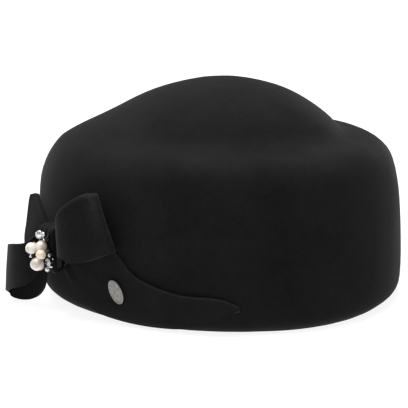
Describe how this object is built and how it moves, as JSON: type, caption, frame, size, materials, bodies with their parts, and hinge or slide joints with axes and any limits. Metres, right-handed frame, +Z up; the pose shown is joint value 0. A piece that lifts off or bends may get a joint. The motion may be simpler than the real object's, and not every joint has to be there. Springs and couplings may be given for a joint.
{
  "type": "pillbox hat",
  "caption": "Black felt pillbox hat with a soft domed top, a folded felt bow with a pearl brooch on its wall, and a small plain metal plate.",
  "frame": {"origin": "middle of the foot of the whole hat's box, on the surface that the rim rests on", "axes": "+X along the hat's length away from the bow, +Z up, -Y towards the side that the long tail runs along"},
  "size_m": [0.2232, 0.1674, 0.1208],
  "materials": {
    "felt": "black wool felt, brushed, soft sheen",
    "bow_felt": "black wool felt strips with cut edges",
    "pearl": "cream pearl lustre",
    "warm_pearl": "peach pearl lustre",
    "brooch_metal": "polished pale gold-toned metal",
    "crystal": "cut clear stone in a metal cup",
    "pin_metal": "satin grey metal"
  },
  "bodies": {
    "root": {"crown": "felt", "long_tail": "bow_felt", "short_tail": "bow_felt", "near_loop": "bow_felt", "far_loop": "bow_felt", "knot": "bow_felt", "brooch_base": "brooch_metal", "pearl_top_left": "pearl", "pearl_top_right": "pearl", "pearl_middle": "warm_pearl", "pearl_bottom": "pearl", "stone_top": "crystal", "stone_ring": "crystal", "stone_side": "crystal", "stone_low": "crystal", "pin_plate": "pin_metal"}
  },
  "joints": []
}
